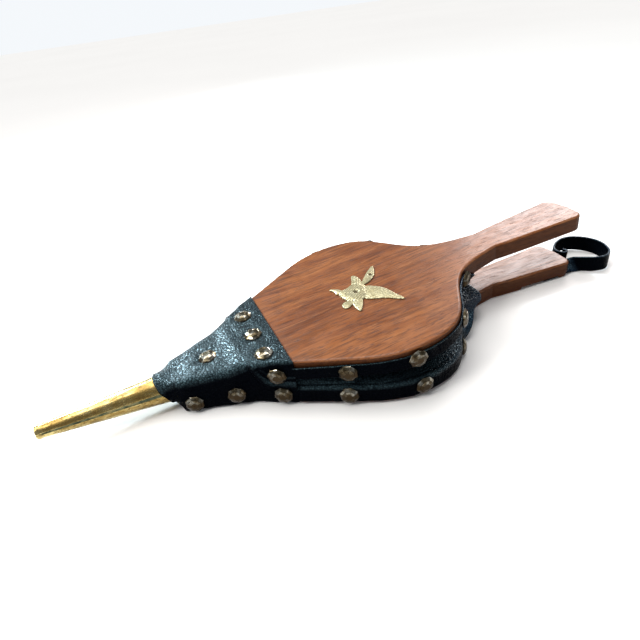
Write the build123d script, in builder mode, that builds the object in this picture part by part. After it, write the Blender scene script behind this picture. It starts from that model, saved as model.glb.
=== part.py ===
from build123d import *
from math import asin, cos, radians, sin
import os

# A hand bellows: two mahogany boards, the upper one hinged in leather on a nose block that
# carries a tapered brass nozzle. Millimetres, nozzle toward -X, handles toward +X, +Z up,
# underside of the lower board on Z = 0.
#
# Places along the bellows are counted from the hinge line, toward the handles, in the plane
# of the board concerned.

# Boards
board_thickness = 15.0
board_gap = 7.0  # between the boards at the hinge, where the folded leather keeps them apart
rest_tilt = 4.4  # the upper board's slope at rest, in degrees
board_length = 327.0
lower_handle_short = 4.0
nose_half_width = 34.0
flare_end, flare_half_width = 70.0, 75.4  # where the straight sides meet the round shoulder
belly_place, belly_half_width = 116.0, 88.0
shoulder_points = [(148.0, 78.0), (170.0, 50.0), (195.0, 25.5)]  # from the belly to the waist
waist_place, waist_half_width = 231.0, 15.7
grip_place, grip_half_width = 282.0, 19.2
end_half_width, end_corner = 21.4, 9.0
edge_round = 2.0
front_bevel = 4.0

# Hinge
hinge_x = -109.5
hinge_gap = 0.6  # from the hinge line to the wood on either side
hinge_strip_reach, hinge_strip_half_width, hinge_strip_thickness = 13.6, 24.0, 1.2
hinge_strip_top = 0.65  # depth of the strip's face under the wood's

# Nose block and nozzle
nose_length = 52.0
nose_end_half_width = 16.0
nose_top, nose_end_top = 33.5, 27.5
nose_under = 2.4
lap_length, lap_top = 34.0, 9.5
nozzle_z = 16.0
nozzle_tip, nozzle_tail = -153.0, -53.0
nozzle_tip_radius = 5.0
nozzle_taper = 0.070  # growth of the radius per millimetre
nozzle_wall = 0.9
mouth_radius, mouth_length = 4.0, 12.0
passage_radius = 5.5
seam_turn = radians(12)  # below the side that faces -Y
spigot_end = -84.0  # the wooden spigot inside the nozzle
screw_place, screw_offset = -17.0, 14.0
screw_radius, screw_head_radius, screw_length = 1.8, 3.8, 17.0
pin_place, pin_radius, pin_length = -57.0, 0.85, 3.4  # the pins that hold the nozzle

# Leather
leather = 1.5
wrap_edge = 27.0  # the rear edge of the nose wrap
wrap_collar = -63.0
tilt_spread = 0.8  # the tilted board's top edge stands this much wider than its underside
gusset_first, gusset_last = 34.0, 239.0  # counted round the board's edge from its front corner
flange_place, flange_length = 197.5, 11.0  # the gusset's ends lie flat on the handles' inner faces
gusset_clear = 0.3
bare_top, bare_under = 4.5, 3.0  # wood left bare above and below the leather bands
fold_wall = 5.0  # the leather's thickness measured level, across its shallow slope
fold_slope = 0.2  # depth of the inward fold per millimetre from the hinge

# Valve in the lower board
valve_place, valve_radius = 101.0, 12.0
flap_bend, flap_length, flap_width, flap_thickness = 78.0, 44.0, 40.0, 2.0
tab_length = 14.0
keeper_half_length, keeper_width, keeper_height = 32.0, 12.0, 6.0

# Studs: domed upholstery nails
stud_radius, stud_height, stud_rim = 7.3, 3.0, 0.7
shank_radius, shank_length = 0.9, 10.0
tack_radius, tack_head, tack_shank, tack_length = 2.6, 0.6, 0.6, 7.0
plate_pin_radius = 1.4
seat_lift = 0.05  # from a face to the underside of the nail head on it
nail_hole = 1.25  # through the leather

# Bird plate: each part's outline, from the hinge and to the left
plate_thickness = 0.9
bird_body = [(92, 7), (99, 7.5), (106, 9.5), (113, 7), (115, 0), (112, -8), (106, -14), (98, -14), (92, -6)]
bird_head = [(90, 5), (94, 4.5), (95.5, 9), (93, 12.5), (88, 15.5), (89.5, 9.5)]
bird_tail = [(106, 8), (109, 15.5), (112.5, 22.5), (115.5, 20), (116, 12), (113, 5)]
bird_slender_wing = [(112, 4), (121, 5.5), (129.5, 12.5), (135, 25.5), (126.5, 20), (117, 10.5)]
bird_broad_wing = [(113, 1), (121, -4), (126, -12), (128.5, -23), (130.5, -34.5), (119, -24), (106, -14)]
bird_low_wing = [(105, -10), (102, -19), (95.5, -27.5), (94, -20), (96, -12)]
bird_feet = [(96, -10), (90, -9), (86.5, -12.5), (87, -17), (91, -17.5), (96, -14)]
bird_outlines = [
    bird_body,
    bird_head,
    bird_tail,
    bird_slender_wing,
    bird_broad_wing,
    bird_low_wing,
    bird_feet,
]

# Hanging strap at the end of the lower handle
strap_height, strap_thickness = 15.0, 2.0
strap_end = 372.0
strap_rebate = 3.2
strap_side = -12.0  # the nailed part lies to the right of the handle's middle

os.makedirs("parts", exist_ok=True)

lower = Plane((hinge_x, 0, 0))
slope = Vector(cos(radians(rest_tilt)), 0, sin(radians(rest_tilt)))
upper_origin = (hinge_x, 0, board_thickness + board_gap)
upper = Plane(upper_origin, x_dir=slope, z_dir=slope.cross(Vector(0, 1, 0)))
upper_top = upper.offset(board_thickness)
lower_top = lower.offset(board_thickness)
flare = (flare_half_width - nose_half_width) / flare_end


def across(place):
    """The upright plane across the bellows at a place along it."""
    return Plane((hinge_x + place, 0, 0), x_dir=(0, 1, 0), z_dir=(1, 0, 0))


def finish(builder, label):
    """Label a finished piece and write it."""
    builder.part.label = label
    export_step(builder.part, f"parts/{label}.step")


def side_path():
    """One long side of a board, from its front corner to the grip."""
    with BuildLine() as path:
        front = Line((0, nose_half_width), (flare_end, flare_half_width))
        Spline(
            front @ 1,
            (belly_place, belly_half_width),
            *shoulder_points,
            (waist_place, waist_half_width),
            (grip_place, grip_half_width),
            tangents=(front % 1, (1, 0.06)),
        )
    return path.wire()


def board_outline(plane, length):
    """The face of a board whose handle ends at length."""
    with BuildSketch(plane) as sketch:
        with BuildLine():
            add(side_path())
            grip = Line((grip_place, grip_half_width), (length - end_corner - 2, end_half_width))
            corner = ThreePointArc(
                grip @ 1,
                (length - end_corner * 0.5, end_half_width - end_corner * 0.22),
                (length - 1.5, end_half_width - end_corner),
            )
            Line(corner @ 1, (length, 0))
            mirror(about=Plane.XZ)
            Line((0, nose_half_width), (0, -nose_half_width))
        make_face()
    return sketch.sketch


def beside(grow, along):
    """The point beside a board's long side, and the outward direction, at a length along it."""
    path = side_path()
    seat = path.position_at(along, position_mode=PositionMode.LENGTH)
    run = path.tangent_at(along, position_mode=PositionMode.LENGTH)
    out = Vector(-run.Y, run.X)
    return seat + out * grow, out


def leather_side(grow, first, last):
    """The long side of a board, moved outward, between two lengths along it."""
    count = 14
    step = (last - first) / count
    return [beside(grow, first + k * step)[0] for k in range(count + 1)]


def leather_outline(plane, grow, first, last):
    """The face inside the gusset at one board."""
    with BuildSketch(plane) as sketch:
        with BuildLine():
            side = Spline(*leather_side(grow, first, last))
            Line(side @ 1, ((side @ 1).X, -(side @ 1).Y))
            Line(side @ 0, ((side @ 0).X, -(side @ 0).Y))
            mirror(side, about=Plane.XZ)
        make_face()
    return sketch.sketch


def leather_band(plane):
    """The thin faces of the two leather bands on a board's long edges."""
    with BuildSketch(plane) as sketch:
        with BuildLine():
            outside = Spline(*leather_side(gusset_clear + leather, gusset_first, gusset_last))
            inside = Spline(*leather_side(gusset_clear, gusset_first, gusset_last))
            Line(outside @ 0, inside @ 0)
            Line(outside @ 1, inside @ 1)
        make_face()
        mirror(about=Plane.XZ)
    return sketch.sketch


def crease_outline(plane, shrink, first):
    """The line where the folded leather turns, deeper the further it is from the hinge."""
    start = beside(0, first)[0]
    rear = beside(0, gusset_last)[0].X * (1 - fold_slope) - shrink
    with BuildSketch(plane) as sketch:
        with BuildLine():
            side = Spline(
                (start.X, start.Y - start.X * fold_slope - shrink),
                (flare_end, flare_half_width - flare_end * fold_slope - shrink),
                (belly_place - 4, belly_half_width - belly_place * fold_slope - shrink),
                (rear - 14, 40 - shrink),
                (rear, 14 - shrink),
            )
            Line(side @ 1, ((side @ 1).X, -(side @ 1).Y))
            Line(side @ 0, ((side @ 0).X, -(side @ 0).Y))
            mirror(side, about=Plane.XZ)
        make_face()
    return sketch.sketch


def edge_places(plane, lift, spots):
    """Seats for studs on both long edges of a board: lengths along it, and heights over its face."""
    places = []
    for along, height in spots:
        seat, out = beside(0, along)
        near = [
            (beside(0, along + step)[0] - seat).dot(out) for step in (-stud_radius, stud_radius)
        ]
        seat = seat + out * (lift + max(0.2, *near) + 0.1)
        for side in (1, -1):
            local = Plane((seat.X, side * seat.Y, height), z_dir=(out.X, side * out.Y, 0))
            places.append(plane.location * local.location)
    return places


def nail_group(places, radius, height, rim, shank, length):
    """A group of round-headed nails, each with its head's underside on its seat."""
    dome = (radius**2 + (height - rim) ** 2) / (2 * (height - rim))
    half = asin(radius / dome) / 2
    with BuildPart() as nail:
        with BuildSketch(Plane.XZ):
            with BuildLine():
                Polyline((0, -length), (shank, -length + 2), (shank, 0), (radius, 0), (radius, rim))
                crown = (dome * sin(half), height - dome * (1 - cos(half)))
                ThreePointArc((radius, rim), crown, (0, height))
                Line((0, height), (0, -length))
            make_face()
        revolve(axis=Axis.Z)
    with BuildPart() as group:
        with Locations(*places):
            add(nail.part)
    return group


def studs(places):
    """Domed studs on the given seats."""
    return nail_group(places, stud_radius, stud_height, stud_rim, shank_radius, shank_length)


def tacks(places, radius=tack_radius):
    """Small flat-headed tacks on the given seats."""
    return nail_group(places, radius, tack_head, tack_head / 2, tack_shank, tack_length)


def nozzle_radius(place):
    """The tapered nozzle's outer radius at a place along it."""
    return nozzle_tip_radius + nozzle_taper * (place - nozzle_tip)


def bore_radius(place):
    """The nozzle's inner radius behind its straight mouth."""
    bore_end = nozzle_tip + mouth_length
    tail_bore = nozzle_radius(nozzle_tail) - nozzle_wall
    return mouth_radius + (tail_bore - mouth_radius) * (place - bore_end) / (nozzle_tail - bore_end)


def nose_section(place, half_width, bottom, top, grow, corner):
    """A rounded cross section of the nose at a place along it."""
    with BuildSketch(across(place)) as sketch:
        with Locations((0, (bottom + top) / 2)):
            RectangleRounded(2 * (half_width + grow), top - bottom + 2 * grow, corner + grow)
    return sketch.sketch


def nose_form(grow, start, end):
    """Cross sections of the nose, grown outward, from the collar to the wrap's rear edge."""
    rise = slope.Z / slope.X
    top_at_hinge = board_gap + board_thickness + board_thickness / slope.X
    collar = nozzle_radius(start)
    return [
        nose_section(start, collar, nozzle_z - collar, nozzle_z + collar, grow, collar * 0.9),
        nose_section(-nose_length, nose_end_half_width, nose_under, nose_end_top, grow, 4.0),
        nose_section(-1.5, nose_half_width - 0.5, nose_under, nose_top, grow, 0.4),
        *[
            nose_section(
                place,
                nose_half_width + tilt_spread + place * flare,
                nose_under,
                top_at_hinge + place * rise,
                grow,
                0.4,
            )
            for place in (5.0, end)
        ],
    ]


block_fall = (nose_top - nose_end_top) / nose_length

# Seats of the nails, shared by the leather that they go through
band_lift = gusset_clear + leather
wrap_lift = leather + tilt_spread
upper_edge_seats = edge_places(upper, band_lift, [(71, 3.5), (120, 6.5), (174, 7.0), (228.5, 6.5)])
lower_edge_seats = edge_places(lower, band_lift, [(70, 9.0), (124.5, 10.0), (182, 7.5)])
wrap_upper_seats = edge_places(upper, wrap_lift, [(19.5, 4.5)])
wrap_lower_seats = edge_places(lower, wrap_lift + 0.1, [(21.5, 9.5)])
nozzle_pin_seats = [
    Location((hinge_x + pin_place, side * nozzle_radius(pin_place), nozzle_z), (-90 * side, 0, 0))
    for side in (1, -1)
]
wrap_top_seats = [
    upper_top.location * Location((wrap_edge - 13.5, y, leather + 0.2)) for y in (-31.0, -4.0, 24.5)
]

block_seats = [
    Location((hinge_x - 25, -2.5, nose_top - 25 * block_fall + leather + 0.3), (0, -7, 0))
] + [
    Location(
        Plane((hinge_x + place, side * (half + leather + 0.3), height), z_dir=(-0.33, side, 0))
    )
    for place, half, height in ((-14.0, 29.2, 11.0), (-44.5, 18.7, 8.2))
    for side in (1, -1)
]
seam_seats = [
    Location((hinge_x + place, 0, nose_under - leather - 0.1), (180, 0, 0))
    for place in (18.0, -10.0, -28.0)
]
flange_lower_seats = [
    lower_top.location * Location((flange_place + 7, y, leather + seat_lift)) for y in (-9, 9)
]
flange_upper_seats = [
    upper.location * Location((flange_place + 7, y, -leather - 2 * seat_lift), (180, 0, 0))
    for y in (-9, 9)
]
valve_seats = [
    lower_top.location * Location((flap_bend - tab_length / 2, y, flap_thickness + seat_lift))
    for y in (-14, 0, 14)
]
keeper_seats = [
    lower_top.location * Location((valve_place + 4, side * (keeper_half_length - 5), 1.35))
    for side in (1, -1)
]
ornament_seats = [
    upper_top.location * Location((place, y, plate_thickness + 2 * seat_lift))
    for place, y in ((104.0, -3.0), (126.3, 14.3))
]
strap_seats = [
    lower.location * Location((place, strap_side, 1.05), (180, 0, 0)) for place in (301, 314)
] + [Location((hinge_x + 326.4, 1.5, 7.5), (0, 90, 0))]

# Lower board: a lap under the nose block, a valve hole, an air channel and a strap rebate
screw_seats = [
    lower.offset(nose_under).location * Location((screw_place, y, 0), (180, 0, 0))
    for y in (-screw_offset, screw_offset)
]
lap_half = nose_half_width - lap_length * (nose_half_width - nose_end_half_width) / nose_length
with BuildPart() as lower_board:
    extrude(board_outline(lower, board_length - lower_handle_short), amount=board_thickness)
    fillet(lower_board.faces().sort_by(Axis.Z)[-1].edges(), edge_round)
    fillet(lower_board.faces().sort_by(Axis.Z)[0].edges(), edge_round)
    with BuildSketch(lower):
        with Locations((wrap_edge / 2, 0)):
            Rectangle(wrap_edge + 2, 4 * nose_half_width)
    extrude(amount=nose_under, mode=Mode.SUBTRACT)
    with BuildSketch(lower):
        Rectangle(2 * hinge_gap, 4 * nose_half_width)
    extrude(amount=board_thickness, mode=Mode.SUBTRACT)
    with BuildSketch(lower.offset(nose_under)):
        Polygon(
            (hinge_gap, nose_half_width - 1),
            (-lap_length, lap_half - 2),
            (-lap_length, 2 - lap_half),
            (hinge_gap, 1 - nose_half_width),
            align=None,
        )
    extrude(amount=lap_top - nose_under)
    with BuildSketch(lower):
        with Locations((valve_place, 0)):
            Circle(valve_radius)
    extrude(amount=board_thickness, mode=Mode.SUBTRACT)
    with BuildSketch(across(0)):
        with Locations((0, nozzle_z)):
            Circle(passage_radius)
    extrude(amount=20, taper=12, mode=Mode.SUBTRACT)
    with BuildSketch(lower):
        with Locations((board_length - 30, strap_side)):
            Rectangle(64, strap_height + 3)
    extrude(amount=strap_rebate, mode=Mode.SUBTRACT)
    with Locations(*screw_seats):
        CounterSinkHole(
            radius=screw_radius + 0.3, counter_sink_radius=screw_head_radius + 0.3, depth=lap_top
        )
finish(lower_board, "lower_board")

# Hinge strip: leather let in across the joint, over the bevelled front edge of the upper board
side_view = Plane((hinge_x, 0, 0), x_dir=(1, 0, 0), z_dir=(0, -1, 0))


def strip_solid(half_width, top, bottom, reach):
    """The leather strip across the hinge, or its recess, between two depths in the wood."""
    rise = slope.Z / slope.X
    board_top = board_gap + board_thickness + board_thickness / slope.X
    line = [
        (-reach, nose_top - reach * block_fall),
        (0, nose_top),
        (front_bevel + 2, board_top + (front_bevel + 2) * rise),
        (reach - 3, board_top + (reach - 3) * rise),
    ]
    with BuildPart() as strip:
        with BuildSketch(side_view):
            upper_side = [(x, z - top) for x, z in line]
            lower_side = [(x, z - bottom) for x, z in reversed(line)]
            Polygon(*upper_side, *lower_side, align=None)
        extrude(amount=half_width, both=True)
    return strip.part


recess = strip_solid(hinge_strip_half_width + 0.5, -1.0, 2.0, hinge_strip_reach + 0.5)
block_tack_seats = [
    Location((hinge_x - 9, y, nose_top - 9 * block_fall - hinge_strip_top + 0.12), (0, -6, 0))
    for y in (-16, 0, 16)
]
board_tack_seats = [
    upper_top.location * Location((9.2, y, 0.1 - hinge_strip_top)) for y in (-16, 0, 16)
]
strip_bottom = hinge_strip_top + hinge_strip_thickness
with BuildPart() as hinge_strip:
    add(strip_solid(hinge_strip_half_width, hinge_strip_top, strip_bottom, hinge_strip_reach))
    with Locations(*block_tack_seats, *board_tack_seats):
        Cylinder(nail_hole, 6, mode=Mode.SUBTRACT)
finish(hinge_strip, "hinge_strip")
finish(tacks(block_tack_seats), "hinge_tacks_block")
finish(tacks(board_tack_seats), "hinge_tacks_board")

# Upper board: the same outline, with a longer handle and a bevelled front edge
with BuildPart() as upper_board:
    extrude(board_outline(upper, board_length), amount=board_thickness)
    tilted = Axis(upper.origin, upper.z_dir)
    fillet(upper_board.faces().sort_by(tilted)[-1].edges(), edge_round)
    fillet(upper_board.faces().sort_by(tilted)[0].edges(), edge_round)
    with BuildSketch(upper):
        Rectangle(2 * hinge_gap, 4 * nose_half_width)
    extrude(amount=board_thickness, mode=Mode.SUBTRACT)
    with BuildSketch(Plane(upper.origin, x_dir=upper.x_dir, z_dir=(0, -1, 0))):
        Polygon(
            (0, board_thickness - front_bevel),
            (0, board_thickness + 1),
            (front_bevel + 3.5, board_thickness + 1),
            (front_bevel + 2.5, board_thickness),
            align=None,
        )
    extrude(amount=2 * nose_half_width, both=True, mode=Mode.SUBTRACT)
    add(recess, mode=Mode.SUBTRACT)
finish(upper_board, "upper_board")

# Nose block: lapped over the lower board, with the air passage and the nozzle's spigot
with BuildPart() as nose_block:
    loft(nose_form(0, wrap_collar, wrap_edge)[1:3], ruled=True)
    with BuildSketch(lower):
        with Locations((-lap_length / 2, 0)):
            Rectangle(lap_length, 3 * nose_half_width)
    extrude(amount=lap_top, mode=Mode.SUBTRACT)
    for place in (-nose_length - 1, spigot_end):
        with BuildSketch(across(place)):
            with Locations((0, nozzle_z)):
                Circle(bore_radius(place) - 0.1)
    loft(ruled=True)
    with BuildSketch(across(-nose_length)):
        with Locations((0, nozzle_z)):
            Circle(bore_radius(-nose_length - 1) - 0.1)
    extrude(amount=-1)
    with BuildSketch(across(0)):
        with Locations((0, nozzle_z)):
            Circle(passage_radius)
    extrude(amount=spigot_end, mode=Mode.SUBTRACT)
    with Locations(*screw_seats):
        Cylinder(screw_radius + 0.2, 2 * (screw_length + 2), mode=Mode.SUBTRACT)
    add(recess, mode=Mode.SUBTRACT)
finish(nose_block, "nose_block")

# Nozzle: brass sheet rolled to a taper, with a butted seam along the near side
with BuildPart() as nozzle:
    with BuildSketch(side_view):
        with BuildLine():
            Polyline(
                (nozzle_tip, nozzle_z + mouth_radius),
                (nozzle_tip, nozzle_z + nozzle_tip_radius),
                (nozzle_tail, nozzle_z + nozzle_radius(nozzle_tail)),
                (nozzle_tail, nozzle_z + bore_radius(nozzle_tail)),
                (nozzle_tip + mouth_length, nozzle_z + mouth_radius),
                close=True,
            )
        make_face()
    revolve(axis=Axis((0, 0, nozzle_z), (1, 0, 0)))
    seam_depth = 0.4
    for place in (nozzle_tip, nozzle_tail):
        with BuildSketch(across(place)):
            side = -nozzle_radius(place) * cos(seam_turn)
            height = nozzle_z - nozzle_radius(place) * sin(seam_turn)
            with Locations((side, height)):
                Circle(seam_depth)
    loft(ruled=True, mode=Mode.SUBTRACT)
    with Locations(*nozzle_pin_seats):
        Cylinder(pin_radius + 0.05, 2 * pin_length, mode=Mode.SUBTRACT)
finish(nozzle, "nozzle")

# Pins that hold the nozzle on its spigot, and the screws that hold the block on the lap
head_down = (Align.CENTER, Align.CENTER, Align.MAX)
with BuildPart() as nozzle_pins:
    with Locations(*nozzle_pin_seats):
        Cylinder(pin_radius, pin_length, align=head_down)
finish(nozzle_pins, "nozzle_pins")

with BuildPart() as block_screws:
    with Locations(*screw_seats):
        Cone(screw_radius, screw_head_radius, 2.0, align=head_down)
        Cylinder(screw_radius, screw_length, align=head_down)
finish(block_screws, "block_screws")

# Nose wrap: one sleeve of leather from the nozzle back over both boards' front ends
with BuildPart() as nose_wrap:
    loft(nose_form(leather + 0.1, wrap_collar, wrap_edge), ruled=True)
    loft(nose_form(0.1, wrap_collar, wrap_edge), ruled=True, mode=Mode.SUBTRACT)
    with Locations(*wrap_upper_seats, *wrap_lower_seats, *wrap_top_seats, *block_seats):
        Cylinder(nail_hole, 12, mode=Mode.SUBTRACT)
    with Locations(*seam_seats):
        Cylinder(nail_hole, 6, mode=Mode.SUBTRACT)
finish(nose_wrap, "nose_wrap")

# Gusset: a band of leather round both boards' edges, folded inward between them
middle = Plane(
    (hinge_x, 0, board_thickness + board_gap / 2),
    x_dir=(cos(radians(rest_tilt / 2)), 0, sin(radians(rest_tilt / 2))),
    z_dir=(-sin(radians(rest_tilt / 2)), 0, cos(radians(rest_tilt / 2))),
)
upper_under = upper.offset(-0.05)
with BuildPart() as gusset_leather:
    outer = gusset_clear + leather
    open_front = gusset_first - 2 * fold_wall  # the cut runs on, so the front end is open
    for face in (lower_top, upper_under):
        loft(
            [
                leather_outline(face, outer, gusset_first, gusset_last),
                crease_outline(middle, 0, gusset_first),
            ]
        )
    for face in (lower_top, upper_under):
        loft(
            [
                leather_outline(face, outer - fold_wall, open_front, gusset_last - fold_wall),
                crease_outline(middle, fold_wall, open_front),
            ],
            mode=Mode.SUBTRACT,
        )
    extrude(leather_band(lower.offset(bare_under)), amount=board_thickness - bare_under)
    extrude(leather_band(upper_under), amount=board_thickness - bare_top)
    for face, turn in ((lower_top, 1), (upper_under, -1)):
        with BuildSketch(face):
            with Locations((flange_place + flange_length / 2, 0)):
                Rectangle(flange_length, 30)
        extrude(amount=turn * leather)
    with Locations(*upper_edge_seats, *lower_edge_seats, *flange_lower_seats, *flange_upper_seats):
        Cylinder(nail_hole, 12, mode=Mode.SUBTRACT)
finish(gusset_leather, "gusset_leather")

# Valve: a leather flap over the hole in the lower board, under a keeper strap
with BuildPart() as valve_flap:
    with BuildSketch(lower_top.offset(0.1)):
        with Locations((flap_bend + flap_length / 2, 0)):
            RectangleRounded(flap_length, flap_width, 3)
    extrude(amount=flap_thickness)
finish(valve_flap, "valve_flap")

with BuildPart() as valve_tab:
    with BuildSketch(lower_top):
        with Locations((flap_bend - tab_length / 2 - 0.3, 0)):
            RectangleRounded(tab_length, flap_width, 3)
    extrude(amount=flap_thickness)
finish(valve_tab, "valve_tab")

with BuildPart() as valve_keeper:
    with BuildSketch(across(valve_place + 4)):
        with BuildLine():
            foot = keeper_half_length - 10
            Polyline(
                (keeper_half_length, board_thickness + 0.1),
                (foot, board_thickness + 0.1),
                (foot - 1, board_thickness + keeper_height),
                (-foot + 1, board_thickness + keeper_height),
                (-foot, board_thickness + 0.1),
                (-keeper_half_length, board_thickness + 0.1),
            )
            offset(amount=1.2, side=Side.RIGHT)
        make_face()
    extrude(amount=keeper_width / 2, both=True)
finish(valve_keeper, "valve_keeper")

# Ornament: a flying bird in thin brass
with BuildPart() as ornament:
    with BuildSketch(upper_top.offset(seat_lift)):
        for outline in bird_outlines:
            with BuildLine():
                Spline(*outline, periodic=True)
            make_face()
    extrude(amount=plate_thickness)
    with Locations(*ornament_seats):
        Cylinder(0.9, 6, mode=Mode.SUBTRACT)
finish(ornament, "ornament")

# Strap: flat leather, nailed under the lower handle, looped on edge and nailed to its end
with BuildPart() as strap:
    with BuildSketch(lower.offset(1.1)):
        with Locations((board_length - 16, strap_side)):
            Rectangle(40, strap_height)
    extrude(amount=strap_thickness)
    with BuildSketch(lower.offset(0.8)):
        with BuildLine():
            loop = Spline(
                (328, -13),
                (338, -27),
                (353, -31),
                (366, -22),
                (strap_end - 1, -5),
                (362, 13),
                (348, 18),
                (333, 12),
                (325.2, 4),
                (325.6, -2),
                (330, -5.5),
                (333.5, -2),
                (330.5, 1.2),
            )
        trace(loop, line_width=strap_thickness)
    extrude(amount=strap_height)
finish(strap, "strap")

# Nails
for label, places in (
    ("upper_edge_studs", upper_edge_seats),
    ("lower_edge_studs", lower_edge_seats),
    ("wrap_upper_studs", wrap_upper_seats),
    ("wrap_lower_studs", wrap_lower_seats),
    ("wrap_top_studs", wrap_top_seats),
    ("nose_block_studs", block_seats),
):
    finish(studs(places), label)
for label, places in (
    ("wrap_seam_tacks", seam_seats),
    ("gusset_tacks_lower", flange_lower_seats),
    ("gusset_tacks_upper", flange_upper_seats),
    ("valve_tacks", valve_seats),
    ("keeper_tacks", keeper_seats),
    ("strap_nails", strap_seats),
):
    finish(tacks(places), label)
finish(tacks(ornament_seats, plate_pin_radius), "ornament_pins")
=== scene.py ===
import math

import bpy
import numpy as np
from mathutils import Matrix, Vector


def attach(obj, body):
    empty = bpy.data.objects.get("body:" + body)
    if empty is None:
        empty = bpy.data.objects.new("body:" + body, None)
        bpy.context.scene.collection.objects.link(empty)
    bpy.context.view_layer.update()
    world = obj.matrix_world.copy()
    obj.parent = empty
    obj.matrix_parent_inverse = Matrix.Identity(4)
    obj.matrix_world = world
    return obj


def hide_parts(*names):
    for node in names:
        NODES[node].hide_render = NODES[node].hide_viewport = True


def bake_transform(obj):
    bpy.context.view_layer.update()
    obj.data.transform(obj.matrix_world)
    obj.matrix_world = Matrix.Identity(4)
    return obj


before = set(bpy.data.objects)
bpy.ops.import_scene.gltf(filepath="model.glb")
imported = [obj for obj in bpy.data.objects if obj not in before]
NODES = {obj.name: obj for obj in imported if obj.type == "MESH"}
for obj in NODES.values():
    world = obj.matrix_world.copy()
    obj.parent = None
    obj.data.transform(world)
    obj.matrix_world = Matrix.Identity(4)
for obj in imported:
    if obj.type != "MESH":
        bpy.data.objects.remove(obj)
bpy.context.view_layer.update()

MM = 0.001
RNG = np.random.default_rng(7)

# ---------------------------------------------------------------- the part's own sizes, in mm
HINGE_X = -109.5
TILT = math.radians(4.4)
BOARD = 15.0
GAP = 7.0
NOZZLE_Z = 16.0
NOZZLE_TIP, NOZZLE_TAIL = -153.0, -53.0
TIP_RADIUS, TAPER = 5.0, 0.070
BORE_RADIUS, STRAIGHT_TO = 3.6, -141.0  # the bore is straight as far as this, then widens with the tube
SEAM_TURN = -8.0  # degrees round the nozzle from its near side, negative upward
WRAP_REAR = 27.0
BLOCK_FRONT, BLOCK_TOP, BLOCK_FRONT_TOP = -52.0, 33.5, 27.5  # the nose block's top falls toward the nozzle
RISE = math.tan(TILT)
TOP_AT_HINGE = GAP + BOARD + BOARD / math.cos(TILT)
LOWER, UPPER = "lower_half", "upper_half"
UP_U = np.array([math.cos(TILT), 0.0, math.sin(TILT)])
UP_W = np.array([-math.sin(TILT), 0.0, math.cos(TILT)])


def smooth_step(value, low, high):
    """From 0 at low to 1 at high, smoothly."""
    t = np.clip((np.asarray(value, float) - low) / (high - low), 0, 1)
    return t * t * (3 - 2 * t)


def unit(vectors):
    """Vectors, one or many, at length 1."""
    return vectors / np.linalg.norm(vectors, axis=-1, keepdims=True)


def length_along(line):
    """The length along a line of points, from its start to each of them."""
    return np.concatenate([[0], np.cumsum(np.linalg.norm(np.diff(line, axis=0), axis=1))])


def lower_point(d, y, z):
    """A place over the lower board: distance from the hinge, side, height over its underside."""
    return np.stack(np.broadcast_arrays(HINGE_X + d, y, z), -1).astype(float)


def upper_point(u, y, w):
    """The same over the upper board, whose plane is tilted."""
    u, y, w = (np.asarray(v, float) for v in np.broadcast_arrays(u, y, w))
    base = np.array([HINGE_X, 0.0, BOARD + GAP])
    return base + u[..., None] * UP_U + y[..., None] * np.array([0, 1.0, 0]) + w[..., None] * UP_W


# ---------------------------------------------------------------- value noise, for shapes
def smooth_noise(points, cell, seed):
    """Smooth noise from -1 to 1 at points (n, 3), in mm, with features about one cell across."""
    p = points / cell
    i = np.floor(p).astype(np.int64)
    f = p - i
    f = f * f * (3 - 2 * f)
    total = np.zeros(len(points))
    for dx in (0, 1):
        for dy in (0, 1):
            for dz in (0, 1):
                h = (
                    (i[:, 0] + dx) * 374761393
                    + (i[:, 1] + dy) * 668265263
                    + (i[:, 2] + dz) * 2147483647
                    + seed * 1274126177
                )
                h = (h ^ (h >> 13)) * 1103515245
                value = ((h >> 8) & 0xFFFF) / 32767.5 - 1
                w = (
                    (f[:, 0] if dx else 1 - f[:, 0])
                    * (f[:, 1] if dy else 1 - f[:, 1])
                    * (f[:, 2] if dz else 1 - f[:, 2])
                )
                total += w * value
    return total


# ---------------------------------------------------------------- meshes
def new_mesh(name, verts_mm, faces, smooth=True):
    mesh = bpy.data.meshes.new(name)
    faces = [tuple(int(i) for i in f) for f in faces]
    mesh.from_pydata((np.asarray(verts_mm, float) * MM).tolist(), [], faces)
    mesh.validate()
    mesh.polygons.foreach_set("use_smooth", [smooth] * len(mesh.polygons))
    obj = bpy.data.objects.new(name, mesh)
    bpy.context.scene.collection.objects.link(obj)
    return obj


def grid_faces(rows, cols, close_cols=False, flip=False):
    """Quads of a rows x cols grid of vertices, turned over if flip is set."""
    faces = []
    for i in range(rows - 1):
        for j in range(cols if close_cols else cols - 1):
            k = (j + 1) % cols
            quad = (i * cols + j, i * cols + k, (i + 1) * cols + k, (i + 1) * cols + j)
            faces.append(quad[::-1] if flip else quad)
    return faces


def compact(verts, faces):
    """Only the vertices that the faces use."""
    used = sorted({i for f in faces for i in f})
    place = {old: new for new, old in enumerate(used)}
    return np.asarray(verts)[used], [tuple(place[i] for i in f) for f in faces]


def closed_sheet(name, outer, inner, faces):
    """A closed sheet: its outer face, its inner face and the cut edge between them."""
    total = len(outer)
    edges = {(f[k], f[(k + 1) % len(f)]): True for f in faces for k in range(len(f))}
    border = [e for e in edges if (e[1], e[0]) not in edges]
    both = list(faces) + [tuple(total + i for i in reversed(f)) for f in faces]
    both += [(b, a, total + a, total + b) for a, b in border]
    verts, both = compact(np.vstack([outer, inner]), both)
    return new_mesh(name, verts, both)


def leather_shell(name, outer, normals, faces, thickness):
    """A sheet of leather, given by its outer face."""
    return closed_sheet(name, outer, outer - normals * thickness, faces)


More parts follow.
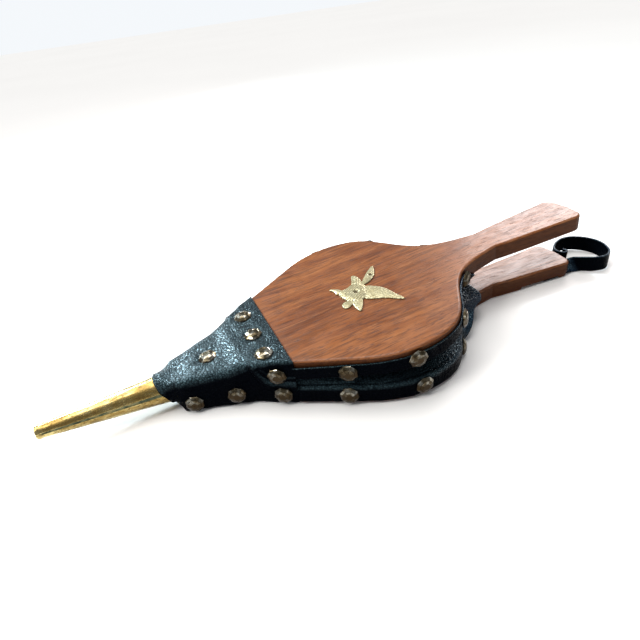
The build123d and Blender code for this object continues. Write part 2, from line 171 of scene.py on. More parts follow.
def islands(obj):
    """The separate solids of a CAD node, as arrays of points in mm."""
    mesh = obj.data
    co = np.zeros(len(mesh.vertices) * 3)
    mesh.vertices.foreach_get("co", co)
    co = co.reshape(-1, 3) / MM
    key = {}
    index = np.array([key.setdefault(tuple(np.round(p, 3)), len(key)) for p in co])
    parent = list(range(len(key)))

    def root(i):
        while parent[i] != i:
            parent[i] = parent[parent[i]]
            i = parent[i]
        return i

    for poly in mesh.polygons:
        ids = [root(index[v]) for v in poly.vertices]
        for other in ids[1:]:
            parent[root(other)] = root(ids[0])
    roots = np.array([root(i) for i in index])
    groups = [np.unique(np.round(co[roots == r], 4), axis=0) for r in sorted(set(roots))]
    return sorted(groups, key=lambda g: tuple(np.round(g.mean(0), 3)))


def nail_seats(node, head_radius):
    """Where each nail of a CAD group sits, and which way its head points."""
    seats = []
    for points in islands(NODES[node]):
        centre = points.mean(0)
        values, vectors = np.linalg.eigh(np.cov((points - centre).T))
        gaps = (values[1] - values[0], values[2] - values[1])
        axis = vectors[:, 0] if gaps[0] > gaps[1] else vectors[:, 2]
        along = (points - centre) @ axis
        spread = np.linalg.norm((points - centre) - np.outer(along, axis), axis=1)
        wide = spread > 0.9 * head_radius
        if along[wide].mean() < (along.max() + along.min()) / 2:
            axis, along = -axis, -along
        seats.append((centre + axis * along[wide].min(), axis))
    return seats


def frame_of(axis, turn):
    """Two directions across an axis, turned by an angle."""
    axis = unit(axis)
    ref = np.array([1.0, 0, 0]) if abs(axis[0]) < 0.8 else np.array([0, 1.0, 0])
    a = unit(np.cross(axis, ref))
    b = np.cross(axis, a)
    return a * math.cos(turn) + b * math.sin(turn), b * math.cos(turn) - a * math.sin(turn), axis


# ---------------------------------------------------------------- materials
class Shader:
    """A material's node tree, made call by call."""

    def __init__(self, name):
        self.material = bpy.data.materials.new(name)
        self.material.use_nodes = True
        self.tree = self.material.node_tree
        self.tree.nodes.clear()
        self.out = self.node("OutputMaterial")
        self.coords = self.node("TexCoord").outputs

    def node(self, kind, inputs=(), **settings):
        """A node with its settings; each input comes from another node's output or is a plain value."""
        node = self.tree.nodes.new("ShaderNode" + kind)
        for name, value in settings.items():
            setattr(node, name, value)
        for socket, value in dict(inputs).items():
            if isinstance(value, bpy.types.NodeSocket):
                self.tree.links.new(value, node.inputs[socket])
            else:
                node.inputs[socket].default_value = value
        return node

    def place(self, scale, turn=0.0, warp=None):
        """Object coordinates, stretched by a scale along each axis."""
        source = self.coords["Object"]
        if warp is not None:
            source = self.node("VectorMath", {0: source, 1: warp}, operation="ADD").outputs[0]
        turned = {"Vector": source, "Rotation": (0, turn, 0), "Scale": scale}
        return self.node("Mapping", turned).outputs["Vector"]

    def noise(self, vector, detail=3.0, rough=0.55, colour=False):
        inputs = {"Vector": vector, "Scale": 1.0, "Detail": detail, "Roughness": rough}
        return self.node("TexNoise", inputs).outputs["Color" if colour else "Fac"]

    def cells(self, vector, feature="F1"):
        inputs = {"Vector": vector, "Scale": 1.0}
        return self.node("TexVoronoi", inputs, feature=feature).outputs["Distance"]

    def ramp(self, fac, stops):
        node = self.node("ValToRGB", {"Fac": fac})
        elements = node.color_ramp.elements
        while len(elements) < len(stops):
            elements.new(0.5)
        for element, (at, colour) in zip(elements, stops):
            element.position = at
            element.color = (*colour, 1)
        return node.outputs["Color"]

    def level(self, fac, low, high, to_low=0.0, to_high=1.0):
        """A smooth step from one value at low to another at high."""
        ends = {"From Min": low, "From Max": high, "To Min": to_low, "To Max": to_high}
        node = self.node("MapRange", {"Value": fac, **ends}, interpolation_type="SMOOTHSTEP")
        return node.outputs["Result"]

    def math(self, operation, a, b=0.5):
        return self.node("Math", {0: a, 1: b}, operation=operation).outputs[0]

    def times(self, a, b):
        return self.math("MULTIPLY", a, b)

    def plus(self, a, b):
        return self.math("ADD", a, b)

    def mix(self, fac, a, b):
        a, b = ((*colour, 1) if isinstance(colour, tuple) else colour for colour in (a, b))
        return self.node("Mix", {0: fac, 6: a, 7: b}, data_type="RGBA").outputs[2]

    def scaled(self, vector, factor):
        """A colour's own variation about grey, as a small shift in metres."""
        back = tuple(-f / 2 for f in factor)
        return self.node("VectorMath", {0: vector, 1: factor, 2: back}, operation="MULTIPLY_ADD").outputs[0]

    def normal_part(self, axis):
        """How far the surface faces an axis of the part, from -1 to 1."""
        inputs = {0: self.coords["Normal"], 1: axis}
        return self.node("VectorMath", inputs, operation="DOT_PRODUCT").outputs["Value"]

    def bump(self, height, distance_mm, strength, normal=None):
        inputs = {"Height": height, "Distance": distance_mm * MM, "Strength": strength}
        if normal is not None:
            inputs["Normal"] = normal
        return self.node("Bump", inputs).outputs["Normal"]

    def finish(self, **inputs):
        shader = self.node("BsdfPrincipled", {name.replace("_", " "): v for name, v in inputs.items()})
        self.tree.links.new(shader.outputs[0], self.out.inputs["Surface"])
        return self.material


def wood(name, shift, turn=0.0, shade=1.0):
    """Straight-grained mahogany: broad ribbons, fine streaks, dark pores, a satin varnish and painted shade
    on the upright sides.
    """
    s = Shader(name)
    warp = s.scaled(s.noise(s.place((5, 14, 14)), colour=True, detail=2), (0.0, 0.012, 0.012))
    warp = s.node("VectorMath", {0: warp, 1: shift}, operation="ADD").outputs[0]
    broad = s.noise(s.place((3.5, 42, 42), turn, warp), detail=3)
    streak = s.noise(s.place((4.5, 290, 290), turn, warp), detail=4, rough=0.6)
    fine = s.noise(s.place((9, 640, 640), turn, warp), detail=3, rough=0.6)
    pores = s.noise(s.place((60, 1100, 1100), turn, warp), detail=1)
    ribbon = s.noise(s.place((38, 20, 20), turn, warp), detail=2)

    def tone(*colour):
        return tuple(shade * c for c in colour)

    base = s.ramp(
        broad,
        [
            (0.30, tone(0.112, 0.031, 0.0085)),
            (0.47, tone(0.175, 0.052, 0.0140)),
            (0.60, tone(0.238, 0.080, 0.0230)),
            (0.76, tone(0.138, 0.040, 0.0110)),
        ],
    )
    base = s.mix(s.level(streak, 0.51, 0.70, 0, 0.72), base, tone(0.055, 0.016, 0.0060))
    base = s.mix(s.level(streak, 0.47, 0.28, 0, 0.52), base, tone(0.310, 0.125, 0.0450))
    base = s.mix(s.level(fine, 0.48, 0.64, 0, 0.58), base, tone(0.065, 0.019, 0.0070))
    base = s.mix(s.level(ribbon, 0.40, 0.66, 0, 0.14), base, (0.330, 0.130, 0.0480))
    pore = s.level(pores, 0.57, 0.69)
    base = s.mix(s.times(pore, 0.6), base, (0.045, 0.013, 0.007))
    facing = s.math("ABSOLUTE", s.normal_part((-math.sin(TILT), 0, math.cos(TILT)) if turn else (0, 0, 1)))
    # painted shade: faces turned away from up, the boards' upright sides, are darkened in the base colour
    side = s.level(facing, 0.55, 0.15)
    base = s.mix(s.times(side, 0.80), base, (0.040, 0.013, 0.0055))
    edge = s.times(s.level(facing, 0.25, 0.6), s.level(facing, 0.985, 0.8))
    worn = s.times(edge, s.level(s.noise(s.place((60, 60, 60)), detail=4), 0.46, 0.66))
    base = s.mix(s.times(worn, 0.35), base, (0.330, 0.160, 0.090))
    rough = s.level(s.noise(s.place((70, 160, 160)), detail=3), 0.3, 0.7, 0.30, 0.42)
    rough = s.plus(rough, s.times(pore, 0.2))
    height = s.plus(s.times(fine, 0.5), s.times(pore, -0.8))
    height = s.plus(height, s.times(streak, 0.5))
    normal = s.bump(height, 0.10, 0.5)
    shine = s.level(facing, 0.2, 0.8, 0.06, 0.30)
    coat = s.level(facing, 0.3, 0.8, 0.0, 0.12)
    return s.finish(
        Base_Color=base, Roughness=rough, Normal=normal, Specular_IOR_Level=shine,
        Coat_Weight=coat, Coat_Roughness=0.2,
    )


def black_leather(name):
    """Pebbled black leather: polished on top, dull on its upright sides, with painted shade darkening those
    sides and a painted blue sheen toward the handles.
    """
    s = Shader(name)
    stretch = s.scaled(s.noise(s.place((120, 120, 120)), colour=True, detail=2), (0.0016, 0.0016, 0.0016))
    pebble = s.cells(s.place((470, 640, 640), 0, stretch))
    crack = s.cells(s.place((470, 640, 640), 0, stretch), feature="DISTANCE_TO_EDGE")
    small = s.noise(s.place((2300, 2300, 2300)), detail=2)
    patch = s.noise(s.place((26, 34, 34)), detail=4, rough=0.62)
    # painted sheen: toward the handles the base colour turns blue, standing in for the sky's blue reflection
    rear = s.level(s.node("SeparateXYZ", {0: s.coords["Object"]}).outputs["X"], 0.01, 0.07)
    top = s.level(s.normal_part((0.15, 0, 0.99)), 0.02, 0.75)
    front_tone = s.ramp(patch, [(0.30, (0.0022, 0.0042, 0.0062)), (0.78, (0.0060, 0.0110, 0.0145))])
    rear_painted_sheen_tone = s.ramp(patch, [(0.30, (0.0022, 0.0060, 0.0170)), (0.78, (0.0070, 0.0215, 0.0560))])
    base = s.mix(rear, front_tone, rear_painted_sheen_tone)
    # painted shade: the upright sides, away from the top, are darkened in the base colour
    base = s.mix(s.math("SUBTRACT", 1.0, top), base, (0.0007, 0.0010, 0.0022))
    furrow = s.level(crack, 0.17, 0.02)
    base = s.mix(s.times(furrow, 0.6), base, (0.0007, 0.0010, 0.0018))
    height = s.plus(s.level(crack, 0.0, 0.28), s.times(pebble, -0.35))
    height = s.plus(height, s.times(small, 0.18))
    rough = s.level(patch, 0.3, 0.75, 0.36, 0.22)
    rough = s.plus(rough, s.times(furrow, 0.18))
    normal = s.bump(height, 0.20, 0.85)
    normal = s.bump(s.noise(s.place((150, 190, 190)), detail=3), 0.9, 0.45, normal)
    shine = s.plus(s.times(top, 0.62), 0.01)
    shine = s.times(shine, s.math("SUBTRACT", 1.0, s.times(furrow, 0.85)))
    return s.finish(
        Base_Color=base, Roughness=rough, Normal=normal, Specular_IOR_Level=shine,
        Specular_Tint=(0.50, 0.86, 1.0, 1),
    )


def tan_leather(name):
    """Plain vegetable-tanned leather, as inside the bellows."""
    s = Shader(name)
    patch = s.noise(s.place((60, 60, 60)), detail=5, rough=0.65)
    fibre = s.noise(s.place((900, 1500, 1500)), detail=3)
    base = s.ramp(patch, [
        (0.3, (0.16, 0.085, 0.042)),
        (0.55, (0.26, 0.15, 0.080)),
        (0.8, (0.36, 0.23, 0.13)),
    ])
    base = s.mix(s.level(fibre, 0.5, 0.75, 0, 0.4), base, (0.12, 0.06, 0.03))
    normal = s.bump(fibre, 0.12, 0.6)
    return s.finish(Base_Color=base, Roughness=s.level(patch, 0.3, 0.7, 0.85, 0.65), Normal=normal)


def nozzle_brass(name):
    """Rolled sheet brass, polished long ago: lengthwise scratches, brown tarnish and small dents."""
    s = Shader(name)
    cloud = s.noise(s.place((55, 140, 140)), detail=5, rough=0.65)
    spots = s.noise(s.place((260, 420, 420)), detail=4, rough=0.7)
    drawn = s.noise(s.place((45, 1900, 1900)), detail=3, rough=0.6)
    nicks = s.noise(s.place((700, 2600, 2600)), detail=2)
    base = s.ramp(cloud, [
        (0.25, (0.15, 0.090, 0.025)),
        (0.48, (0.34, 0.235, 0.075)),
        (0.72, (0.68, 0.56, 0.26)),
    ])
    stain = s.level(spots, 0.52, 0.66)
    base = s.mix(s.times(stain, 0.78), base, (0.120, 0.070, 0.022))
    base = s.mix(s.level(drawn, 0.52, 0.70, 0, 0.42), base, (0.20, 0.135, 0.045))
    mark = s.level(nicks, 0.62, 0.68)
    base = s.mix(s.times(mark, 0.6), base, (0.07, 0.045, 0.016))
    rough = s.plus(s.level(cloud, 0.3, 0.7, 0.32, 0.18), s.times(stain, 0.24))
    height = s.plus(s.times(drawn, 0.6), s.times(mark, -0.7))
    normal = s.bump(height, 0.06, 0.6)
    normal = s.bump(s.noise(s.place((120, 160, 160)), detail=3), 0.30, 0.6, normal)
    return s.finish(Base_Color=base, Metallic=1.0, Roughness=rough, Normal=normal)


def seam_metal(name):
    """Solder and verdigris along the nozzle's seam."""
    s = Shader(name)
    cloud = s.noise(s.place((160, 300, 300)), detail=5, rough=0.7)
    base = s.ramp(cloud, [
        (0.34, (0.030, 0.034, 0.016)),
        (0.5, (0.085, 0.105, 0.055)),
        (0.72, (0.34, 0.26, 0.10)),
    ])
    return s.finish(
        Base_Color=base, Metallic=0.45,
        Roughness=s.level(cloud, 0.35, 0.7, 0.75, 0.4), Normal=s.bump(cloud, 0.1, 0.6),
    )


def hollows(s, low, high):
    """Where the surface is hollow, from 0 to 1."""
    return s.level(s.node("NewGeometry").outputs["Pointiness"], high, low)


def stud_brass(name):
    """Antiqued brass: nearly black in the grooves, with painted shade darkening the upright faces so that the
    crowns' flats stay bright.
    """
    s = Shader(name)
    cloud = s.noise(s.place((210, 210, 210)), detail=4, rough=0.65)
    grain = s.noise(s.place((1500, 1500, 1500)), detail=3)
    rubbed = s.cells(s.place((210, 250, 210)))
    cloud = s.plus(s.times(cloud, 0.6), s.times(rubbed, 0.35))
    base = s.ramp(cloud, [
        (0.34, (0.055, 0.043, 0.024)),
        (0.48, (0.150, 0.125, 0.080)),
        (0.62, (0.560, 0.540, 0.470)),
    ])
    # painted shade: faces turned away from up are darkened in the base colour, which leaves the crowns bright
    top = s.level(s.normal_part((0, 0, 1)), 0.0, 0.80)
    base = s.mix(s.math("SUBTRACT", 1.0, top), base, (0.038, 0.025, 0.013))
    dark = s.math("MAXIMUM", s.times(s.level(grain, 0.54, 0.72), 0.5), hollows(s, 0.45, 0.495))
    base = s.mix(dark, base, (0.022, 0.016, 0.010))
    rough = s.level(cloud, 0.3, 0.7, 0.28, 0.13)
    return s.finish(Base_Color=base, Metallic=1.0, Roughness=rough, Normal=s.bump(grain, 0.04, 0.4))


def plate_brass(name):
    """Pale stamped brass with dark lacquer left in its lines."""
    s = Shader(name)
    cloud = s.noise(s.place((130, 130, 130)), detail=5, rough=0.65)
    grain = s.noise(s.place((1300, 1300, 1300)), detail=3)
    base = s.ramp(cloud, [(0.28, (0.26, 0.22, 0.11)), (0.48, (0.40, 0.36, 0.21)), (0.72, (0.54, 0.51, 0.34))])
    base = s.mix(s.level(grain, 0.56, 0.70, 0, 0.5), base, (0.26, 0.20, 0.09))
    hollow = hollows(s, 0.445, 0.492)
    base = s.mix(s.times(hollow, 0.92), base, (0.060, 0.042, 0.020))
    rough = s.plus(s.level(cloud, 0.3, 0.7, 0.42, 0.28), s.times(hollow, 0.2))
    return s.finish(Base_Color=base, Metallic=0.55, Roughness=rough, Normal=s.bump(grain, 0.09, 0.6))


def dark_brass(name):
    """The small heads of the plate's pins, gone brown."""
    s = Shader(name)
    cloud = s.noise(s.place((600, 600, 600)), detail=4, rough=0.65)
    base = s.ramp(cloud, [(0.35, (0.035, 0.022, 0.010)), (0.70, (0.14, 0.095, 0.040))])
    return s.finish(Base_Color=base, Metallic=0.8, Roughness=s.level(cloud, 0.3, 0.7, 0.6, 0.4))


def wire_steel(name):
    """Plain steel of tacks and screws, a little rusted."""
    s = Shader(name)
    cloud = s.noise(s.place((400, 400, 400)), detail=4, rough=0.65)
    base = s.ramp(cloud, [
        (0.35, (0.12, 0.065, 0.035)),
        (0.52, (0.24, 0.22, 0.20)),
        (0.75, (0.42, 0.41, 0.40)),
    ])
    return s.finish(
        Base_Color=base, Metallic=0.9,
        Roughness=s.level(cloud, 0.35, 0.7, 0.62, 0.36), Normal=s.bump(cloud, 0.06, 0.5),
    )


WOOD_UPPER = wood("mahogany_upper", (0.013, 0.021, 0.0), TILT)
WOOD_LOWER = wood("mahogany_lower", (0.41, -0.17, 0.05), 0.0, 0.93)
WOOD_BLOCK = wood("mahogany_block", (0.77, 0.33, 0.2), 0.0, 0.9)
LEATHER = black_leather("leather_black")
TAN = tan_leather("leather_tan")
BRASS = nozzle_brass("brass_nozzle")
SEAM = seam_metal("brass_seam")
STUD = stud_brass("brass_antique")
PLATE = plate_brass("brass_plate")
PINS = dark_brass("brass_dark")
STEEL = wire_steel("steel_wire")

for names, material in (
    (("upper_board",), WOOD_UPPER),
    (("lower_board",), WOOD_LOWER),
    (("nose_block",), WOOD_BLOCK),
    (("valve_flap", "valve_tab", "valve_keeper"), TAN),
    (("nozzle_pins", "ornament_pins"), PINS),
    (
        (
            "block_screws", "wrap_seam_tacks", "gusset_tacks_lower", "gusset_tacks_upper",
            "hinge_tacks_block", "hinge_tacks_board", "valve_tacks", "keeper_tacks", "strap_nails",
        ),
        STEEL,
    ),
):
    for name in names:
        NODES[name].data.materials.clear()
        NODES[name].data.materials.append(material)


def dress(obj, material, slot, *nodes):
    """The material and the CAD nodes that a new piece stands for; the slot argument is not used."""
    obj.data.materials.clear()
    obj.data.materials.append(material)
    if nodes:
        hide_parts(*nodes)


# ---------------------------------------------------------------- the boards' outline, from the frame
def board_outline():
    co = np.array([v.co for v in NODES["lower_board"].data.vertices]) / MM
    on_side = (np.abs(co[:, 2] - (BOARD - 2.0)) < 0.02) & (co[:, 1] > 5) & (co[:, 0] > HINGE_X + 0.7)
    on_side &= co[:, 0] < HINGE_X + 300
    points = np.unique(np.round(co[on_side][:, :2], 3), axis=0)
    points = points[np.argsort(points[:, 0])]
    return points[:, 0] - HINGE_X, points[:, 1]


def smooth_side():
    """The board's side as a dense, smoothed line: distance from the hinge, half width, slope, length."""
    known_d, known_y = board_outline()
    d = np.linspace(0.6, 290, 6000)
    y = np.interp(d, known_d, known_y)
    before = known_y[0] + (d - known_d[0]) * (known_y[1] - known_y[0]) / (known_d[1] - known_d[0])
    y = np.where(d < known_d[0], before, y)
    kernel = np.hanning(61)
    padded = np.pad(y, 30, mode="reflect", reflect_type="odd")
    y = np.convolve(padded, kernel / kernel.sum(), mode="valid")
    return d, y, np.gradient(y, d), length_along(np.stack([d, y], -1))


SIDE_D, SIDE_Y, SIDE_SLOPE, SIDE_LENGTH = smooth_side()


def side_at(arc):
    """A board's long side on +Y at a length along it: distance from the hinge, half width, outward normal."""
    d, y, k = (np.interp(arc, SIDE_LENGTH, values) for values in (SIDE_D, SIDE_Y, SIDE_SLOPE))
    return d, y, unit(np.stack([-k, np.ones_like(k)], -1))


# ---------------------------------------------------------------- seats of the domed studs
STUD_RADIUS, STUD_HEIGHT = 7.3, 3.0
STUD_INSET, STUD_RAISE = 0.10, 0.18  # how far each raised flat is drawn in and lifted
STUD_RINGS = ((2.9, STUD_HEIGHT - 0.15), (5.2, 2.12), (6.95, 0.85), (7.3, 0.32), (7.25, 0.0), (6.95, -0.30))
stud_groups = {
    "upper_edge_studs": UPPER,
    "lower_edge_studs": LOWER,
    "wrap_upper_studs": UPPER,
    "wrap_top_studs": UPPER,
    "wrap_lower_studs": LOWER,
    "nose_block_studs": LOWER,
}
seats = {name: nail_seats(name, STUD_RADIUS) for name in stud_groups}


def pulled(points, normals, groups, depth=0.35):
    """Leather drawn in under each stud's head, and puckered round it."""
    moved = points.copy()
    for group in groups:
        for k, (seat, axis) in enumerate(seats[group]):
            rel = points - seat
            along = rel @ axis
            across = rel - along[:, None] * axis
            r = np.linalg.norm(across, axis=1)
            near = (np.abs(along) < 5) & (r < 24)
            if not near.any():
                continue
            a, b, _ = frame_of(axis, 0.7 * k)
            angle = np.arctan2(across @ b, across @ a)
            dent = -depth * np.exp(-((r / 7.8) ** 2)) + 0.30 * np.exp(-(((r - 11.0) / 3.0) ** 2))
            dent += 0.19 * np.cos(5 * angle + k) * np.exp(-(((r - 11.5) / 4.0) ** 2))
            moved += normals * (dent * near)[:, None]
    return moved


def grid_normals(grid):
    """Normals of a grid of points (rows, cols, 3)."""
    du = np.gradient(grid, axis=0)
    dv = np.gradient(grid, axis=1)
    n = np.cross(du, dv)
    return n / np.maximum(np.linalg.norm(n, axis=2), 1e-9)[..., None]


# ---------------------------------------------------------------- gusset
LEATHER_T = 1.35
WRAP_SLANT = 4.6  # how far the wrap's front edge runs forward on top and back underneath
FOLD_SLOPE = 0.2
SIDE_END = 238.5
UNDER_WRAP = 1.95
side_count, corner_count, rear_count = 150, 14, 16


def spline_point(a, b, c, e, t):
    """A point between b and c on a smooth curve whose outer points are a and e."""
    return 0.5 * (2 * b + (c - a) * t + (2 * a - 5 * b + 4 * c - e) * t**2 + (3 * b - a - 3 * c + e) * t**3)


def catmull(points, count):
    """A smooth line through points, evenly spaced along its length."""
    p = np.asarray(points, float)
    p = np.vstack([2 * p[0] - p[1], p, 2 * p[-1] - p[-2]])
    out = []
    for i in range(1, len(p) - 2):
        t = np.linspace(0, 1, 60, endpoint=i == len(p) - 3)[:, None]
        out.append(spline_point(p[i - 1], p[i], p[i + 1], p[i + 2], t))
    line = np.vstack(out)
    run = length_along(line)
    at = np.linspace(0, run[-1], count)
    return np.stack([np.interp(at, run, line[:, k]) for k in range(line.shape[1])], -1)


def gusset_loop():
    """Attachment line, outward direction, crease line and length along the edge, at each station."""
    d, y, n = side_at(np.linspace(2.0, SIDE_END - 4, side_count))
    edge = np.stack([d, y], -1)
    turn_to = np.array([1.0, 0.0])
    corner, corner_n = [], []
    start, start_n = edge[-1], n[-1]
    rear_x = start[0] + 4.5
    finish_at = np.array([rear_x, start[1] - 8.5])
    for k in range(1, corner_count + 1):
        t = k / corner_count
        s = float(smooth_step(t, 0, 1))
        tangent = np.array([start_n[1], -start_n[0]])
        b1 = start + tangent * 4.5
        b2 = finish_at + np.array([0.0, 4.0])
        p = (1 - t) ** 3 * start + 3 * (1 - t) ** 2 * t * b1 + 3 * (1 - t) * t**2 * b2 + t**3 * finish_at
        v = (1 - s) * start_n + s * turn_to
        corner.append(p)
        corner_n.append(unit(v))
    rear = np.stack([np.full(rear_count, rear_x), np.linspace(finish_at[1], 0, rear_count + 1)[1:]], -1)
    half = np.vstack([edge, corner, rear])
    half_n = np.vstack([n, corner_n, np.tile(turn_to, (rear_count, 1))])
    run = length_along(half)
    back = rear_x * (1 - FOLD_SLOPE)
    crease = catmull(
        [(2, 34.6), (29, 45.0), (70, 61.0), (112, 64.0), (back - 14, 41), (back - 2, 16), (back, 0)], 600
    )
    crease_run = np.linspace(0, 1, len(crease))
    at = run / run[-1]
    crease = np.stack([np.interp(at, crease_run, crease[:, k]) for k in (0, 1)], -1)
    mirror = np.array([1.0, -1.0])
    whole = np.vstack([half, (half[:-1] * mirror)[::-1]])
    whole_n = np.vstack([half_n, (half_n[:-1] * mirror)[::-1]])
    whole_c = np.vstack([crease, (crease[:-1] * mirror)[::-1]])
    whole_run = np.concatenate([run, (2 * run[-1] - run[:-1])[::-1]])
    return whole, whole_n, whole_c, whole_run


def make_gusset():
    edge, n, crease, run = gusset_loop()
    rows = len(edge)
    d = edge[:, 0]
    gap = GAP + d * RISE
    middle = BOARD + (GAP + crease[:, 0] * RISE) / 2
    inner = 0.35
    under = UNDER_WRAP * (1 - smooth_step(d, 24.0, 30.0))
    round_half = np.minimum(run, run[-1] - run)
    half_profiles = []
    # band's free edge from the board's face, where its flange starts, how far it reaches, how far it rises
    for upper, free, flare_from, flare_to, reach, tip_rise in (
        (False, 3.0, 184.0, 216.0, 11.5, 14.0), (True, 4.5, 224.0, 248.0, 2.6, 0.0),
    ):
        columns = []
        flare = smooth_step(round_half, flare_from, flare_to)
        band = BOARD - free - 2.0

        def put(out, height):
            """One column of points: out from the board's edge, and from its face toward the fold."""
            out = np.broadcast_to(out, (rows,)) - under * np.ones(rows)
            height = np.broadcast_to(height, (rows,)).astype(float)
            plan = edge + n * out[:, None]
            if upper:
                columns.append(upper_point(plan[:, 0], plan[:, 1], -height))
            else:
                columns.append(lower_point(plan[:, 0], plan[:, 1], BOARD + height))

        turn = np.radians(-90 + (90 + tip_rise) * flare)
        length = band * (1 - flare) + reach * flare
        base_out = inner * (1 - flare) + 0.6 * flare
        base_height = -2.0 * (1 - flare) + 0.25 * flare
        for k in range(12):
            t = 1 - k / 12
            put(base_out + length * t * np.cos(turn), base_height + length * t * np.sin(turn))
        for k in range(9):
            a = math.radians(100) * k / 8
            arc_out = -2.0 + (2.0 + inner) * math.cos(a)
            arc_height = -2.0 + (2.0 + inner) * math.sin(a)
            flat_out = 0.6 - 2.2 * k / 8
            put((1 - flare) * arc_out + flare * flat_out, (1 - flare) * arc_height + flare * 0.3)
        half_profiles.append(columns)
    lower_cols, upper_cols = half_profiles
    low, high = lower_cols[-1], upper_cols[-1]
    fold = lower_point(crease[:, 0], crease[:, 1], middle)
    slopes = []
    slope_count = 16
    for start, sign in ((low, 1.0), (high, -1.0)):
        cols = []
        for k in range(1, slope_count):
            t = k / slope_count
            p = start * (1 - t) + fold * t
            puff = sign * 0.55 * math.sin(math.pi * t) * np.clip(gap / 14.0, 0.2, 1.6)
            at_corner = np.exp(-(((run % run[-1]) - run[side_count]) / 16) ** 2)
            wrinkle_room = np.clip((d - 60) / 110, 0, 1) + 0.8 * at_corner
            phase = run / 6.4 + 1.7 * np.sin(run / 23.0) + (0.9 if sign > 0 else 2.1)
            wrinkle = sign * 0.55 * wrinkle_room * math.sin(math.pi * t) ** 1.3 * np.sin(phase + 1.1 * t)
            p = p + np.stack([np.zeros(rows), np.zeros(rows), puff + wrinkle], -1)
            cols.append(p)
        slopes.append(cols)
    nose_out = fold + np.stack([-n[:, 0] * 0.9, -n[:, 1] * 0.9, np.zeros(rows)], -1)
    columns = lower_cols + slopes[0] + [nose_out] + slopes[1][::-1] + upper_cols[::-1]
    grid = np.stack(columns, 1)
    flat = grid.reshape(-1, 3)
    soft = smooth_noise(flat, 17.0, 3) * 0.28 + smooth_noise(flat, 7.0, 5) * 0.10
    normals = grid_normals(grid).reshape(-1, 3)
    flip = (normals.reshape(grid.shape)[20, 3] @ np.array([n[20, 0], n[20, 1], 0])) < 0
    if flip:
        normals = -normals
    on_band = np.zeros((rows, len(columns)))
    on_band[:, : len(lower_cols)] = 1
    on_band[:, -len(upper_cols) :] = 1
    room = np.where(on_band.ravel() > 0, 0.5, 1.5)
    flat = flat + normals * (np.maximum(soft, -0.08) * room)[:, None]
    faces = grid_faces(rows, len(columns), flip=flip)
    outer = flat + normals * LEATHER_T
    outer = pulled(outer, normals, ("upper_edge_studs", "lower_edge_studs"), 0.05)
    obj = leather_shell("gusset", outer, normals, faces, LEATHER_T)
    dress(obj, LEATHER, "black_leather", "gusset_leather")
    return obj


gusset = make_gusset()
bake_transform(gusset)


# ---------------------------------------------------------------- nose wrap
GROW = 1.6
FOLD_PLACES = [-6, -3, 0, 2.5, 5, 8, 12, 17, 22, 28]
FOLD_HEIGHTS = [44, 38, 32, 26.2, 22.2, 19.6, 18.2, 17.4, 17.0, 16.6]  # the fold's lip, curving to the rear
BOTTOM_COLS, CORNER_COLS, SIDE_COLS, TOP_CORNER_COLS, TOP_COLS = 14, 7, 50, 9, 22


def wrap_ring(d):
    """Half an outline of the wrap at a distance from the hinge, from the bottom's middle to the top's."""
    half = np.interp(d, [-64, -62, -52.5, -1.5, 5.0, 60], [16, 16, 16, 33.4, 37.7, 37.7 + 55 * 0.5915])
    block_top = BLOCK_FRONT_TOP + (BLOCK_TOP - BLOCK_FRONT_TOP) * (d - BLOCK_FRONT) / -BLOCK_FRONT
    board_top = TOP_AT_HINGE + max(d, 0) * RISE
    t = float(smooth_step(d, -17.0, 6.0))
    top = block_top * (1 - t) + board_top * t
    half, low, high = half + GROW, 2.4 - GROW, top + GROW
    round_top = float(np.interp(d, [-52, -5, 3, 27], [6.0, 7.0, 4.6, 3.0]))
    round_low = 2.6
    points = []
    for k in range(BOTTOM_COLS):
        points.append(((half - round_low) * k / BOTTOM_COLS, low))

    def corner(radius, height, angle):
        """A point of a rounded corner: its radius, the height of its middle, and the angle."""
        return half - radius + radius * math.cos(angle), height + radius * math.sin(angle)

    for k in range(CORNER_COLS):
        a = -math.pi / 2 + math.pi / 2 * k / CORNER_COLS
        points.append(corner(round_low, low + round_low, a))
    for k in range(SIDE_COLS):
        points.append((half, low + round_low + (high - round_top - low - round_low) * k / SIDE_COLS))
    for k in range(TOP_CORNER_COLS):
        points.append(corner(round_top, high - round_top, math.pi / 2 * k / TOP_CORNER_COLS))
    for k in range(TOP_COLS + 1):
        points.append(((half - round_top) * (1 - k / TOP_COLS), high))
    return np.array(points)


def wrap_grid(places):
    """Rings of the wrap at places from the hinge, each a closed outline of points."""
    rows = []
    for d in places:
        points = wrap_ring(max(d, -52.5))
        if d < -52.5:
            radius = TIP_RADIUS + TAPER * (d - NOZZLE_TIP) + 1.55
            rel = points - np.array([0, NOZZLE_Z])
            angle = np.arctan2(rel[:, 1], rel[:, 0])
            circle = np.stack([np.cos(angle), np.sin(angle)], -1) * radius + np.array([0, NOZZLE_Z])
            k = 1 - (1 - min(1.0, (-52.5 - d) / 9.0)) ** 1.7
            points = points * (1 - k) + circle * k
        other = points[1:-1][::-1] * np.array([-1.0, 1.0])
        ring = np.vstack([points, other])
        rows.append(np.stack([np.full(len(ring), HINGE_X + d), ring[:, 0], ring[:, 1]], -1))
    return np.stack(rows, 0)


